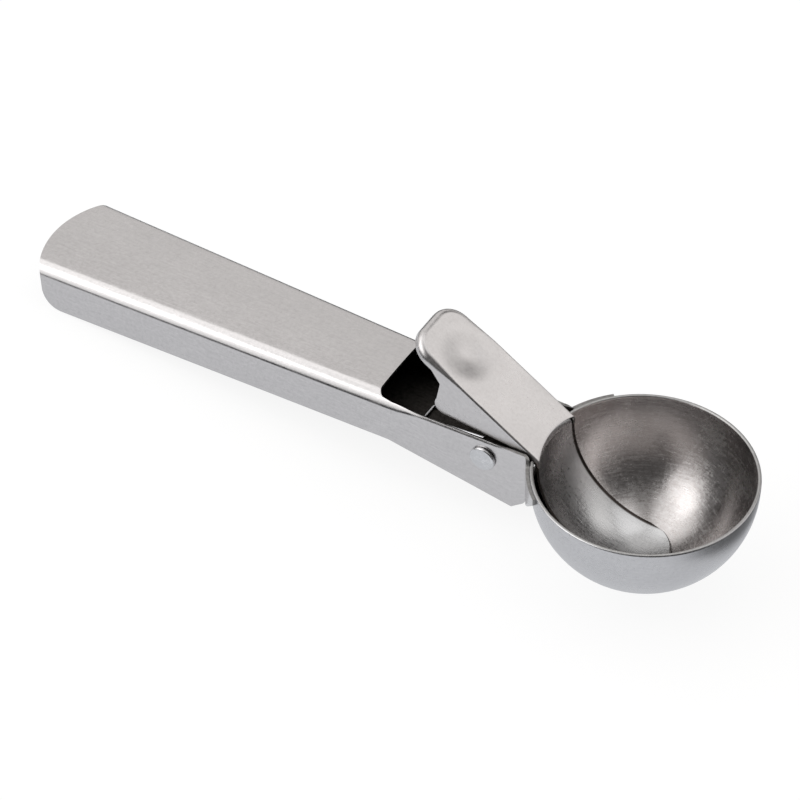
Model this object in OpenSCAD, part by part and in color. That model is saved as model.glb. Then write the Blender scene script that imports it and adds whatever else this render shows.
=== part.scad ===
// Lever ice cream scoop: a pressed bowl on a folded sheet handle, with a thumb
// lever that sweeps a curved blade through the bowl and a spring that returns it.
// The part lies as it does on a table: bowl bottom and handle end at z = 0,
// handle towards -X, bowl towards +X, left and right mirrored about y = 0.

/* [Bowl] */
// Outer radius of the bowl
bowl_r = 26; // [24:0.5:30]
// Sheet thickness of the bowl
bowl_sheet = 0.9; // [0.6:0.1:1.2]
// Height of the straight band under the rim
bowl_band = 2; // [1:0.5:4]
// Depth of the rear slot below the rim
slot_depth = 6.5; // [5:0.5:9]

/* [Handle] */
// Sheet thickness of the handle
handle_sheet = 0.8; // [0.6:0.1:1]
// Length of the handle behind the back of the bowl
handle_len = 137.5; // [110:0.5:160]
// Half width of the handle where the lever opening starts
handle_half_front = 11.4; // [11:0.1:12.5]
// Half width of the handle at its rear end
handle_half_rear = 14.9; // [13:0.1:17]
// Height of the handle's side walls
handle_h = 12.6; // [11:0.1:15]
// Outer radius of the folds along the handle
fold_r = 2.5; // [1.5:0.1:3]
// Radius of the handle's rounded end, seen from above
handle_end_r = 25; // [22:0.5:36]
// Radius of the lower rear corners of the side walls
handle_corner_r = 5; // [2:0.5:7]
// Slope of the handle's top face against the bowl's rim, in degrees
handle_pitch = 2.23; // [0:0.1:5]
// Height of the handle's top face above the rim, at the back of the bowl
handle_rise = 2.49; // [2:0.1:4]
// Distance from the back of the bowl to the rear edge of the lever opening
opening_len = 38.3; // [36:0.1:44]
// Corner radius of the lever opening
opening_corner_r = 3; // [1:0.5:5]
// Height cut off the folds above the ears
opening_sink = 1.1; // [0.5:0.1:2]

/* [Ears] */
// Distance from the back of the bowl to where the ears start to deepen
ear_start = 34.5; // [30:0.5:36]
// Depth of the ears at their lowest point, below the handle's top face
ear_depth = 18.9; // [16:0.1:20]
// Depth of the ears where they meet the bowl
ear_front_depth = 15.6; // [13:0.1:16]
// Angle from the handle's axis to the end of each weld flange, in degrees
flange_angle = 48; // [36:1:60]
// Distance of the weld flanges' top edge below the rim
flange_drop = 0.3; // [0.2:0.1:1]

/* [Underside plate] */
// Sheet thickness of the plate that closes the handle's underside
plate_sheet = 0.8; // [0.6:0.1:1]
// Distance that the plate is set in from the side walls' lower edges
plate_inset = 0.6; // [0.3:0.1:1.5]
// Distance from the back of the bowl to the plate's front edge
plate_start = 1; // [1:0.5:14]

/* [Lever] */
// Sheet thickness of the thumb plate
thumb_sheet = 0.8; // [0.6:0.1:1]
// Length of the thumb plate along its slope
thumb_len = 37.9; // [34:0.1:42]
// Gap between the thumb plate's flanges and the ears
thumb_play = 0.4; // [0.3:0.05:0.8]
// Slope of the thumb plate against the bowl's rim, in degrees
thumb_slope = 34.5; // [31:0.5:37]
// Corner radius of the thumb plate's free end
thumb_corner_r = 6; // [3:0.5:8]
// Outer radius of the fold around the thumb plate
thumb_fold_r = 1.1; // [0.9:0.1:1.2]
// Depth of the turned-down lip at the thumb plate's free end
thumb_lip = 2.4; // [2:0.1:3.5]
// Radius of the thumb rest's round hollow
dish_r = 6.2; // [4:0.1:6.4]
// Depth of the thumb rest's hollow
dish_depth = 0.8; // [0.4:0.1:1.2]

/* [Ejector blade] */
// Sheet thickness of the ejector blade
blade_sheet = 0.6; // [0.5:0.1:1]
// Half width of the blade at its round front end
blade_half = 8.4; // [6:0.1:9]
// Half width of the blade where it leaves the bowl
blade_half_rear = 9; // [8.2:0.1:9.2]
// Gap between the blade and the bowl's inner wall
blade_gap = 0.55; // [0.3:0.05:0.8]
// Gap between the blade's edges and the sides of the bowl's slot
slot_gap = 0.7; // [0.5:0.1:1.8]
// Distance that the blade reaches past the middle of the bowl
blade_reach = 7; // [4:0.5:9]

/* [Pivot] */
// Distance from the back of the bowl to the pivot
pivot_back = 9.85; // [9.5:0.1:11]
// Depth of the pivot below the rim
pivot_drop = 3.62; // [3:0.1:5]
// Radius of the rivet's shank
rivet_r = 1.5; // [1.2:0.1:1.8]
// Radius of the rivet's heads
rivet_head_r = 3.2; // [2.6:0.1:3.6]
// Height of the rivet's heads
rivet_head_h = 1; // [0.6:0.1:1.4]
// Radial running clearance of everything that turns on the rivet
pivot_clearance = 0.05; // [0.02:0.01:0.1]
// Radius of the blade's lugs around the rivet
lug_r = 3.2; // [2.8:0.1:3.6]
// Outer radius of the spacer washers
washer_r = 3; // [2.6:0.1:3.4]

/* [Spring] */
// Diameter of the spring's wire
wire_d = 0.8; // [0.6:0.1:1]
// Number of turns in each of the two coils
coil_turns = 3; // [2:1:4]
// Gap between the wire and what it turns on or presses on
wire_gap = 0.1; // [0.05:0.05:0.3]
// Half length of the bar that joins the coils across the underside plate
bridge_half = 2.6; // [1.5:0.1:3]
// Distance from the pivot back to the spring's cross bar
bridge_back = 20.5; // [16:0.5:23]

/* [Hidden] */
$fn = 96;
// How far a cutting shape runs past what it cuts, and a length beyond any part.
cut = 1;
far = 400;
// Film of weld metal between the bowl and the flanges that hold it.
weld_gap = 0.02;

// Handle frame: origin on the handle's top face above the back of the bowl,
// -X towards the handle's end. The side walls taper in towards the bowl.
taper = atan((handle_half_rear - handle_half_front) / (handle_len - opening_len));
function wall_half(back) = handle_half_front + (back - opening_len) * tan(taper);
wall_rear = handle_len - handle_end_r
            + sqrt(pow(handle_end_r, 2) - pow(handle_half_rear, 2));
corner_back = wall_rear - handle_corner_r;
corner_depth = handle_h - handle_corner_r;

// Bowl frame: origin at the middle of the rim, Z square to the rim.
bowl_in = bowl_r - bowl_sheet;
blade_out = bowl_in - blade_gap;
blade_in = blade_out - blade_sheet;
slot_half = blade_half_rear + slot_gap;
flange_in = bowl_r + weld_gap;
flange_out = flange_in + handle_sheet;
flange_low_end = 1.6;

// The part rests on the bowl's bottom and on the walls' lower rear corners.
corner_dx = bowl_r + corner_back * cos(handle_pitch) + corner_depth * sin(handle_pitch);
corner_dz = corner_depth * cos(handle_pitch) - handle_rise
            - corner_back * sin(handle_pitch) - bowl_band;
rest_tilt = asin((bowl_r - handle_corner_r) / norm([corner_dx, corner_dz]))
            - atan2(corner_dz, corner_dx);
rest_height = bowl_r + bowl_band * cos(rest_tilt);
bowl_front_x = bowl_r + bowl_band * sin(rest_tilt);
handle_end_x = -(bowl_r + handle_len * cos(handle_pitch)) * cos(rest_tilt)
               - (handle_rise + handle_len * sin(handle_pitch)) * sin(rest_tilt);
rest_x = -(bowl_front_x + handle_end_x) / 2;

// Ears and opening: the walls carry on past the opening and deepen to the bowl.
ear_low_back = 2;
opening_side_rear = 0.9;
opening_side_front = 1;
ear_top = handle_rise - opening_sink;
ear_front_x = -sqrt(pow(flange_in, 2) - pow(wall_half(0), 2));
ear_corner_r = 2;
// How far in front of the opening's rear edge its folds start to be cut down.
sink_lead = 1;

// Thumb plate frame: origin where its top face meets the blade's inner face,
// -X up along the slope. Depths are measured down from the top face.
thumb_rise = 1;
thumb_half = wall_half(0) - handle_sheet / cos(taper) - thumb_play;
flange_slope = 27;
lobe_back = 21.8;
lobe_depth = 8.5;
lobe_r = 2.6;
notch_back = 26.3;
notch_depth = 4;
lip_back = 30;
dish_from_end = 11.5;
under_depth = thumb_sheet + blade_sheet;
under_len = 17.5;

// Pivot, in the bowl's frame and in the thumb plate's frame.
pivot_x = -bowl_r - pivot_back;
pivot_z = -pivot_drop;
pivot_u = (pivot_x + blade_in) * cos(thumb_slope) - (pivot_z - thumb_rise) * sin(thumb_slope);
pivot_v = (pivot_x + blade_in) * sin(thumb_slope) + (pivot_z - thumb_rise) * cos(thumb_slope);
pivot_hole_r = rivet_r + pivot_clearance;
pivot_wall = wall_half(pivot_back);

// Blade lugs, just inside the thumb plate's flanges.
lug_play = 0.1;
lug_out = thumb_half - thumb_sheet - lug_play;
lug_in = lug_out - blade_sheet;
lug_front = 2.5;
lug_rear = 10;

// Underside plate.
plate_play = 0.05;
plate_top = -handle_h + plate_inset + plate_sheet;

// Rivet and washers. The walls lean with the taper, so heads and washers
// keep clear of the nearer side of the lean.
head_seat = pivot_wall + rivet_head_r * tan(taper);
washer_play = 0.1;
washer_start = lug_out + washer_play;
washer_end = pivot_wall - handle_sheet / cos(taper) - washer_r * tan(taper);

// Spring. Angles run around the pivot, 0 towards the bowl and 90 up.
function lever_point(back, depth) = [
    -blade_in - back * cos(thumb_slope) - depth * sin(thumb_slope),
    thumb_rise + back * sin(thumb_slope) - depth * cos(thumb_slope)];
coil_r = rivet_r + wire_gap + wire_d / 2;
coil_pitch = wire_d + wire_gap / 2;
press_back = 16;
arm = lever_point(press_back, under_depth + wire_gap + wire_d / 2) - [pivot_x, pivot_z];
bar_back = bridge_back + pivot_back;
bar_rise = handle_rise + bar_back * sin(handle_pitch) + plate_top + wire_gap + wire_d / 2;
bar = [-bridge_back, bar_rise - pivot_z];
arm_angle = atan2(arm[1], arm[0]) - acos(coil_r / norm(arm));
bar_angle = atan2(bar[1], bar[0]) + acos(coil_r / norm(bar));
bar_turn = bar_angle > 0 ? bar_angle - 360 : bar_angle;
coil_sweep = arm_angle - bar_turn + 360 * coil_turns;
coil_width = coil_pitch * coil_sweep / 360;
coil_steps = ceil(coil_sweep / 15);
wire_sides = 8;
bend_r = 1;
foot_len = 3;

// Stands the children, built in the bowl's frame, on the table.
module rest() {
    translate([rest_x, 0, rest_height]) rotate([0, -rest_tilt, 0]) children();
}

// Moves the children from the handle's frame to the bowl's frame.
module on_handle() {
    translate([-bowl_r, 0, handle_rise]) rotate([0, handle_pitch, 0]) children();
}

// Moves the children from the thumb plate's frame to the bowl's frame.
module on_lever() {
    translate([-blade_in, 0, thumb_rise]) rotate([0, thumb_slope, 0]) children();
}

module both_sides() {
    children();
    mirror([0, 1, 0]) children();
}

// Extrudes an X-Z outline across the part, from y = y0 to y = y1.
module across(y0, y1) {
    translate([0, y1, 0]) rotate([90, 0, 0]) linear_extrude(height = y1 - y0) children();
}

// Extrudes a Y-Z outline along X, from x = x0 to x = x1.
module along(x0, x1) {
    translate([x0, 0, 0]) rotate([90, 0, 90]) linear_extrude(height = x1 - x0) children();
}

// Cylinder along Y on the pivot's axis.
module pivot_rod(radius, y0, y1) {
    translate([pivot_x, 0, pivot_z]) across(y0, y1) circle(radius);
}

// Block to the left of and below the origin, with its corner there rounded.
module rounded_block(span, depth, radius) {
    difference() {
        translate([-span, -depth]) square([span, depth]);
        translate([-radius, -radius]) difference() {
            square(radius + cut);
            circle(radius);
        }
    }
}

// Section of a folded sheet: a top run to the left and a side run down.
module fold_section(span, depth, radius, sheet) {
    difference() {
        rounded_block(span, depth, radius);
        translate([-sheet, -sheet]) rounded_block(span, depth, radius - sheet);
    }
}

// Right half of the section of a bowl or blade, its rim raised by top.
module bowl_half_disc(radius, top) {
    intersection() {
        translate([0, -bowl_band]) circle(radius);
        translate([0, -bowl_band - radius]) square(radius);
    }
    translate([0, -bowl_band]) square([radius, bowl_band + top]);
}

module bowl_shell(outer, inner, top) {
    rotate_extrude() difference() {
        bowl_half_disc(outer, top);
        bowl_half_disc(inner, top + cut);
    }
}

// Moves to a side wall's frame: origin on its outer face, -X along it.
module on_wall() {
    translate([0, wall_half(0), 0]) rotate([0, 0, -taper]) children();
}

module wall_and_half_top() {
    intersection() {
        on_wall() along(-handle_len - handle_h, fold_r)
            fold_section(2 * handle_half_rear, ear_depth + cut, fold_r, handle_sheet);
        translate([-far, 0, -far]) cube([2 * far, far, 2 * far]);
    }
}

// What is trimmed off below the walls, which deepen into ears at the bowl.
module lower_edge_waste() {
    across(-far, far) polygon([
        [-far, -handle_h], [-ear_start, -handle_h], [-ear_low_back, -ear_depth],
        [ear_low_back, -ear_front_depth], [far, -ear_front_depth], [far, -far], [-far, -far]]);
}

// Flange that runs on from each ear along the outside of the bowl.
module weld_flange() {
    end_x = -flange_out * cos(flange_angle);
    intersection() {
        difference() {
            translate([0, 0, -ear_depth]) cylinder(r = flange_out, h = ear_depth - flange_drop);
            translate([0, 0, -far]) cylinder(r = flange_in, h = 2 * far);
        }
        across(wall_half(0) - handle_sheet, far) polygon([
            [-flange_out, -ear_front_depth], [end_x, -flange_drop - flange_low_end],
            [end_x, cut], [-flange_out, cut]]);
    }
}

// Plan of the lever opening. Its sides run just inside the walls' inner faces.
module opening_plan() {
    side_rear = wall_half(opening_len - opening_corner_r) - opening_side_rear;
    side_front = wall_half(-bowl_r) - opening_side_front;
    straight = side_rear - opening_corner_r;
    translate([-opening_len, 0]) {
        polygon([[opening_corner_r, side_rear], [opening_corner_r, -side_rear],
                 [opening_len + bowl_r, -side_front], [opening_len + bowl_r, side_front]]);
        translate([0, -straight]) square([opening_corner_r + cut, 2 * straight]);
        translate([opening_corner_r, straight]) circle(opening_corner_r);
        translate([opening_corner_r, -straight]) circle(opening_corner_r);
    }
}

// What is cut away above the ears, from the opening's rear corners to the bowl.
module ear_top_waste() {
    across(-bowl_r, bowl_r) polygon([
        [-opening_len + sink_lead, cut], [-opening_len + sink_lead, 0],
        [-opening_len + sink_lead + opening_corner_r, -opening_sink], [2 * bowl_r, -opening_sink],
        [2 * bowl_r, cut]]);
}

// What is trimmed off behind the handle's rounded end and lower corners.
module handle_end_waste() {
    difference() {
        translate([-far, -far, -far]) cube([far - handle_len + handle_end_r, 2 * far, 2 * far]);
        translate([-handle_len + handle_end_r, 0, -2 * far])
            cylinder(r = handle_end_r, h = 4 * far);
    }
    across(-far, far) difference() {
        translate([-far, -far]) square([far - corner_back, far - corner_depth]);
        translate([-corner_back, -corner_depth]) circle(handle_corner_r);
    }
}

// What rounds the upper front corner of each ear, just behind the rim.
module ear_corner_waste() {
    translate([ear_front_x - ear_corner_r, 0, ear_top - ear_corner_r])
        across(-far, far) difference() {
            square(far);
            circle(ear_corner_r);
        }
}

module handle_channel() {
    color([0.78, 0.76, 0.75]) rest() difference() {
        union() {
            difference() {
                on_handle() difference() {
                    both_sides() wall_and_half_top();
                    lower_edge_waste();
                    handle_end_waste();
                    translate([0, 0, -fold_r]) linear_extrude(height = 2 * fold_r) opening_plan();
                    ear_top_waste();
                }
                translate([0, 0, -far]) cylinder(r = flange_in, h = 2 * far);
                ear_corner_waste();
            }
            both_sides() weld_flange();
        }
        pivot_rod(pivot_hole_r, -far, far);
    }
}

module underside_plate() {
    inner = handle_sheet / cos(taper) + plate_play;
    color([0.7, 0.69, 0.69]) rest() on_handle()
        translate([0, 0, plate_top - plate_sheet]) linear_extrude(height = plate_sheet)
            intersection() {
                polygon([
                    [-plate_start, wall_half(plate_start) - inner],
                    [-plate_start, -wall_half(plate_start) + inner],
                    [-handle_len, -handle_half_rear + inner],
                    [-handle_len, handle_half_rear - inner]]);
                union() {
                    translate([-handle_len + handle_corner_r + handle_end_r, 0]) circle(handle_end_r);
                    translate([-handle_len + handle_corner_r + handle_end_r, -handle_half_rear])
                        square([handle_len, 2 * handle_half_rear]);
                }
            }
}

module bowl() {
    color([0.74, 0.74, 0.76]) rest() difference() {
        bowl_shell(bowl_r, bowl_in, 0);
        translate([-2 * bowl_r, -slot_half, -slot_depth])
            cube([2 * bowl_r, 2 * slot_half, 2 * slot_depth]);
    }
}

// Outline kept of the thumb plate's flanges and lip, seen from the side.
module flange_outline() {
    lobe_side = lobe_r * sin(flange_slope);
    lobe_low = lobe_r * cos(flange_slope);
    run = (lobe_depth + lobe_low - thumb_fold_r) / tan(flange_slope);
    polygon([
        [bowl_r, thumb_len], [-thumb_len - cut, thumb_len], [-thumb_len - cut, -thumb_lip],
        [-lip_back, -thumb_lip], [-notch_back, -notch_depth], [-lobe_back - lobe_r, -lobe_depth],
        [-lobe_back, -lobe_depth], [-lobe_back + lobe_side, -lobe_depth - lobe_low],
        [-lobe_back + lobe_side + run, -thumb_fold_r], [bowl_r, -thumb_fold_r]]);
    translate([-lobe_back, -lobe_depth]) circle(lobe_r);
}

// Folded sheet with a side run of the flanges' greatest depth.
module thumb_section(span) {
    fold_section(span, lobe_depth + lobe_r, thumb_fold_r, thumb_sheet);
}

module thumb_plate() {
    straight = thumb_half - thumb_corner_r;
    dish_ball_r = (pow(dish_r, 2) + pow(dish_depth, 2)) / (2 * dish_depth);
    color([0.86, 0.85, 0.84]) rest() difference() {
        on_lever() {
            difference() {
                intersection() {
                    union() {
                        both_sides() {
                            translate([0, thumb_half, 0]) along(-thumb_len + thumb_corner_r, bowl_r)
                                thumb_section(thumb_half);
                            translate([-thumb_len + thumb_corner_r, straight, 0]) rotate([0, 0, 90])
                                rotate_extrude(angle = 90) translate([thumb_corner_r, 0])
                                    thumb_section(thumb_corner_r);
                        }
                        translate([-thumb_len, 0, 0]) mirror([1, 0, 0])
                            across(-straight, straight) thumb_section(thumb_corner_r);
                    }
                    across(-far, far) flange_outline();
                }
                translate([dish_from_end - thumb_len, 0, dish_ball_r - dish_depth]) sphere(dish_ball_r);
            }
            intersection() {
                translate([dish_from_end - thumb_len, 0, dish_ball_r - dish_depth]) difference() {
                    sphere(dish_ball_r + thumb_sheet);
                    sphere(dish_ball_r);
                }
                translate([dish_from_end - thumb_len, 0, -far])
                    cylinder(r = dish_r + thumb_sheet, h = far - thumb_sheet / 2);
            }
        }
        translate([0, 0, -far]) cylinder(r = blade_in, h = 2 * far);
    }
}

// Plan of the blade: a strip that narrows to a round front end.
module blade_plan() {
    round_x = blade_reach - blade_half;
    translate([round_x, 0]) circle(blade_half);
    polygon([
        [round_x, blade_half], [-bowl_r, blade_half_rear],
        [-bowl_r, -blade_half_rear], [round_x, -blade_half]]);
}

module lug_outline() {
    polygon([
        [-lug_front, -thumb_sheet], [-lug_rear, -thumb_sheet],
        [pivot_u - lug_r, pivot_v], [pivot_u + lug_r, pivot_v]]);
    translate([pivot_u, pivot_v]) circle(lug_r);
}

module ejector_blade() {
    color([0.6, 0.58, 0.58]) rest() difference() {
        union() {
            difference() {
                intersection() {
                    bowl_shell(blade_out, blade_in, bowl_r);
                    translate([0, 0, -far]) linear_extrude(height = 2 * far) blade_plan();
                }
                on_lever() translate([-far, -far, -thumb_sheet]) cube(2 * far);
            }
            difference() {
                on_lever() {
                    translate([-under_len, -lug_out, -under_depth])
                        cube([under_len + bowl_r, 2 * lug_out, blade_sheet]);
                    both_sides() across(lug_in, lug_out) lug_outline();
                }
                translate([0, 0, -far]) cylinder(r = blade_in, h = 2 * far);
            }
        }
        pivot_rod(pivot_hole_r, -far, far);
    }
}

// Domed rivet head seated at y = head_seat.
module rivet_head() {
    ball_r = (pow(rivet_head_r, 2) + pow(rivet_head_h, 2)) / (2 * rivet_head_h);
    translate([pivot_x, head_seat, pivot_z]) rotate([-90, 0, 0]) rotate_extrude()
        intersection() {
            translate([0, rivet_head_h - ball_r]) circle(ball_r);
            square([2 * rivet_head_r, 2 * rivet_head_h]);
        }
}

module pivot_rivet() {
    color([0.82, 0.82, 0.83]) rest() {
        pivot_rod(rivet_r, -head_seat, head_seat);
        both_sides() rivet_head();
    }
}

module spacer_washers() {
    color([0.7, 0.7, 0.7]) rest() both_sides() difference() {
        pivot_rod(washer_r, washer_start, washer_end);
        pivot_rod(pivot_hole_r, 0, far);
    }
}

// Point on the coil after a turn of sweep degrees from the arm's end, and the
// direction from the coil's axis to it.
function coil_out(sweep) = [cos(arm_angle - sweep), 0, sin(arm_angle - sweep)];
function coil_point(sweep) =
    [pivot_x, bridge_half + coil_width * (1 - sweep / coil_sweep), pivot_z]
    + coil_r * coil_out(sweep);

// One ring of the wire's skin, in the plane of two square directions.
function wire_ring(centre, u, v) = [for (k = [0 : wire_sides - 1])
    centre + wire_d / 2 * (cos(360 * k / wire_sides) * u + sin(360 * k / wire_sides) * v)];

// Rings of the spring's left half: foot under the thumb plate, arm, coil,
// leg, bend, and the cross bar up to its middle.
function spring_half() =
    let (y_axis = [0, 1, 0],
         foot_out = [sin(thumb_slope), 0, cos(thumb_slope)],
         corner_out = foot_out + coil_out(0),
         arm_end = [pivot_x + arm[0], coil_point(0)[1], pivot_z + arm[1]],
         foot_end = arm_end + foot_len * [-cos(thumb_slope), 0, sin(thumb_slope)],
         leg_from = coil_point(coil_sweep),
         leg_to = [pivot_x + bar[0], leg_from[1], pivot_z + bar[1]],
         leg_dir = (leg_to - leg_from) / norm(leg_to - leg_from),
         bend_from = leg_to - bend_r * leg_dir)
    concat(
        [wire_ring(foot_end, foot_out, y_axis),
         wire_ring(arm_end, corner_out / norm(corner_out), y_axis)],
        [for (i = [0 : coil_steps])
            wire_ring(coil_point(coil_sweep * i / coil_steps),
                      coil_out(coil_sweep * i / coil_steps), y_axis)],
        [for (turn = [0 : 30 : 90])
            wire_ring(bend_from + bend_r * (sin(turn) * leg_dir - (1 - cos(turn)) * y_axis),
                      coil_out(coil_sweep), cos(turn) * y_axis + sin(turn) * leg_dir)],
        [wire_ring([leg_to[0], 0, leg_to[2]], coil_out(coil_sweep), leg_dir)]);

module torsion_spring() {
    half = spring_half();
    last = len(half) - 1;
    rings = concat(half, [for (i = [last - 1 : -1 : 0]) [for (p = half[i]) [p[0], -p[1], p[2]]]]);
    n = wire_sides;
    color([0.66, 0.66, 0.68]) rest() polyhedron(
        points = [for (ring = rings) each ring],
        faces = concat(
            [[for (k = [0 : n - 1]) k]],
            [for (i = [0 : len(rings) - 2], k = [0 : n - 1])
                [i * n + k, (i + 1) * n + k, (i + 1) * n + (k + 1) % n, i * n + (k + 1) % n]],
            [[for (k = [n - 1 : -1 : 0]) (len(rings) - 1) * n + k]]),
        convexity = 10);
}

handle_channel();
underside_plate();
bowl();
thumb_plate();
ejector_blade();
pivot_rivet();
spacer_washers();
torsion_spring();
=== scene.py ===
"""Lever ice cream scoop: dressed pieces, finishes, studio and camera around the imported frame."""

import math

import bmesh
import bpy
import numpy as np
from mathutils import Matrix


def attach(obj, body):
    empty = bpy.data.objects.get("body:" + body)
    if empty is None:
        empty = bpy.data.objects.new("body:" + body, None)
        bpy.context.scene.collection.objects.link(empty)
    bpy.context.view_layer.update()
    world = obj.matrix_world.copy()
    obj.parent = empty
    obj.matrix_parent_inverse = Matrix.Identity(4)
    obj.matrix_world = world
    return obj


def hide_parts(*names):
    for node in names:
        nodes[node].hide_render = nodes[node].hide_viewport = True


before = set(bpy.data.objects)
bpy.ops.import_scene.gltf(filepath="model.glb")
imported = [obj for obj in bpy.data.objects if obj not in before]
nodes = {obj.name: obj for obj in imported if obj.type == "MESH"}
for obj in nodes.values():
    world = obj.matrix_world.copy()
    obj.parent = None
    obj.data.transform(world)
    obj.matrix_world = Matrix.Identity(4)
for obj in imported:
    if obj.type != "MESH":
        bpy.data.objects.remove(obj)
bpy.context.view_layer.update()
slot_of = {name: node.material_slots[0].material.name for name, node in nodes.items()}

# ---------------------------------------------------------------- sizes, in millimetres

# rest on the table: how far the bowl's rim tilts, and where its middle comes to lie
REST_TILT = math.radians(8.54144)
REST_X, REST_Z = 68.2255, 27.9778

# bowl: outer radius, sheet, straight band under the rim, the slot at its back, and the rim's rounded edge
BOWL_R, BOWL_SHEET, BOWL_BAND = 26.0, 0.9, 2.0
SLOT_HALF, SLOT_DEPTH = 9.2, 5.2
RIM_ROUND = 0.38

# handle: its top rises from the bowl at the pitch, is crowned across, and tapers in towards the bowl
SHEET = 0.8
PITCH = math.radians(2.23)
RISE = 2.49
LENGTH, OPENING = 137.5, 38.3
HALF_FRONT, HALF_REAR = 11.4, 14.9
LEAN = (HALF_REAR - HALF_FRONT) / (LENGTH - OPENING)
WALL_H, END_R, CORNER_R = 12.6, 25.0, 5.0
CROWN = 0.24

# lever opening: corner radius, how far its corners stay in from the walls' faces, how deep the folds
# beside it are cut down, and how far in front of its rear edge that starts
OPENING_R, OPENING_BORDER, OPENING_SINK, SINK_LEAD = 3.0, 0.9, 1.1, 1

# folds between top and wall, as (length run from the top, curvature before scaling to a right angle)
NEAR_FOLD = [(0, 0.08), (0.8, 0.2), (2.0, 0.27), (4.0, 0.28), (4.9, 0.33), (5.5, 0.6), (5.8, 0.5),
             (6.0, 0.01)]
FAR_FOLD = [(0, 0.1), (1.5, 0.3), (3.0, 0.46), (4.2, 0.42), (4.9, 0.03), (6.2, 0.01)]
FOLD_STEPS = 8

# ears: where they start to deepen, their depth at the lowest point and at the front, where that point is,
# how far they run on past the bowl's back, and how much further back their front end starts at its top
EAR_START, EAR_DEPTH, EAR_FRONT_DEPTH, EAR_LOW = 34.5, 18.9, 15.6, 2.0
EAR_TIP, EAR_SLANT = 0.9, 0.537
# fold along an ear's top edge, as (depth, inset): the whole fold gives way to it by EAR_FOLD_AT, and it
# has gone by EAR_FOLD_END, each over the length FOLD_FADE
EAR_FOLD = [(1.1, 0.4), (1.6, 0.12), (2.2, 0.0)]
EAR_FOLD_AT, EAR_FOLD_END, FOLD_FADE = 26, 1, 8

# weld flanges: bend, radius round the bowl, the angle where they end, drop of their top edge below the
# rim, height left at their end, and the round of the ears' top corners with its start before the bend
BEND_R = 1.2
FLANGE_R, FLANGE_END, FLANGE_DROP, FLANGE_LOW = 26.82, math.radians(48), 0.3, 1.6
EAR_CORNER_R, EAR_CORNER_LEAD = 2.0, 0.35

# thumb plate: lobes and notch of its flanges, the fold that opens out to the free end, the hollow, and the
# length over which its front end comes to follow the blade's round
SLOPE = math.radians(34.5)
THUMB_LEN, THUMB_HALF, THUMB_CORNER, THUMB_LIP = 37.9, 8.848, 6.0, 2.4
LOBE_BACK, LOBE_DEPTH, LOBE_R, LOBE_SLOPE = 21.8, 8.5, 2.6, math.radians(27)
NOTCH_BACK, NOTCH_DEPTH = 26.3, 4.0
LIP_BACK = 30.0
SIDE_FOLD, END_FOLD, FOLD_CHANGE = 0.55, 1.6, (22.0, 33.0)
DISH_BACK, DISH_R, DISH_DEPTH = THUMB_LEN - 11.5, 7.9, 0.85
FRONT_FADE = 6

# ejector blade: radii of its faces, half widths at the front and rear, reach of the round front end, share
# of the width between its borders, the foot under the thumb plate and where it widens, height of the bend
# and its drop at the sides, and the lugs with their roots
BLADE_IN, BLADE_OUT, BLADE_SHEET = 23.95, 24.55, 0.6
BLADE_HALF, BLADE_HALF_REAR, BLADE_REACH = 8.4, 9.0, 7.0
BLADE_BORDER = 0.88
UNDER_LEN, FOOT_START, FOOT_WIDEN = 17.5, 0.8, 2
BEND_Z, BEND_SAG = -1.0, 0.55
LUG_OUT, LUG_R, LUG_ROOT, LUG_ROOT_LEN, LUG_ROOT_DEPTH = 7.948, 3.2, 2.5, 7.5, 1.2

# rivet: the pivot's place, shank, and domed heads with a rounded edge
PIVOT = np.array([-35.85, 0.0, -3.62])
RIVET_R, HEAD_R, HEAD_H, HEAD_SEAT = 1.5, 3.2, 1.0, 10.509
HEAD_ROUND, HEAD_DOME = 0.4, 0.22

# spring: wire, where its arms press on the lever, the cross bar on the plate, how far round the arms' own
# coil goes, how much of that lies inside the rest of the coil, and how thin it is there
WIRE_R, WIRE_GAP, COIL_TURNS = 0.4, 0.1, 3
PRESS_BACK, FOOT_LEN, BAR_HALF, BAR_BACK, BAR_BEND = 16.0, 3.0, 2.6, 20.5, 1.0
PLATE_TOP = -11.2
ARM_TURN, COIL_LAP, LAP_THIN = math.radians(85), math.radians(40), 0.96

# cut edges of sheet and wire, and the length that the grain map gives half a top or a wall
EDGE_ROUND, WIRE_ROUND = 0.12, 0.06
GRAIN_HALF = 9

# points closer than this, in metres, are one point
MERGE = 1e-6


# ---------------------------------------------------------------- frames

def on_table(p):
    """Bowl-frame points in millimetres, tilted by the rest angle and set on the table, in metres."""
    c, s = math.cos(REST_TILT), math.sin(REST_TILT)
    x = p[..., 0] * c - p[..., 2] * s + REST_X
    z = p[..., 0] * s + p[..., 2] * c + REST_Z
    return np.stack([x, p[..., 1], z], -1) / 1000


def handle_to_bowl(back, y, z):
    """Point at a distance back along the handle's top face, tilted by the handle's pitch."""
    x = -BOWL_R - back * math.cos(PITCH) + z * math.sin(PITCH)
    rise = RISE + back * math.sin(PITCH) + z * math.cos(PITCH)
    return np.stack(np.broadcast_arrays(x, y, rise), -1)


def lever_to_bowl(up, y, depth):
    """Point at a distance up the thumb plate and a depth below its top face."""
    x = -BLADE_IN - up * math.cos(SLOPE) - depth * math.sin(SLOPE)
    z = 1.0 + up * math.sin(SLOPE) - depth * math.cos(SLOPE)
    return np.stack(np.broadcast_arrays(x, y, z), -1)


def s_curve(share):
    """From 0 to 1 as the share goes from 0 to 1, level at both ends."""
    share = np.clip(share, 0, 1)
    return share * share * (3 - 2 * share)


def length_run(points):
    """Length along a row of points, up to each of them."""
    return np.concatenate([[0], np.cumsum(np.linalg.norm(np.diff(points, axis=0), axis=1))])


# ---------------------------------------------------------------- mesh making

def mirrored(points):
    """The same points on the other side of the part."""
    return points * (1, -1, 1)


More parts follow.
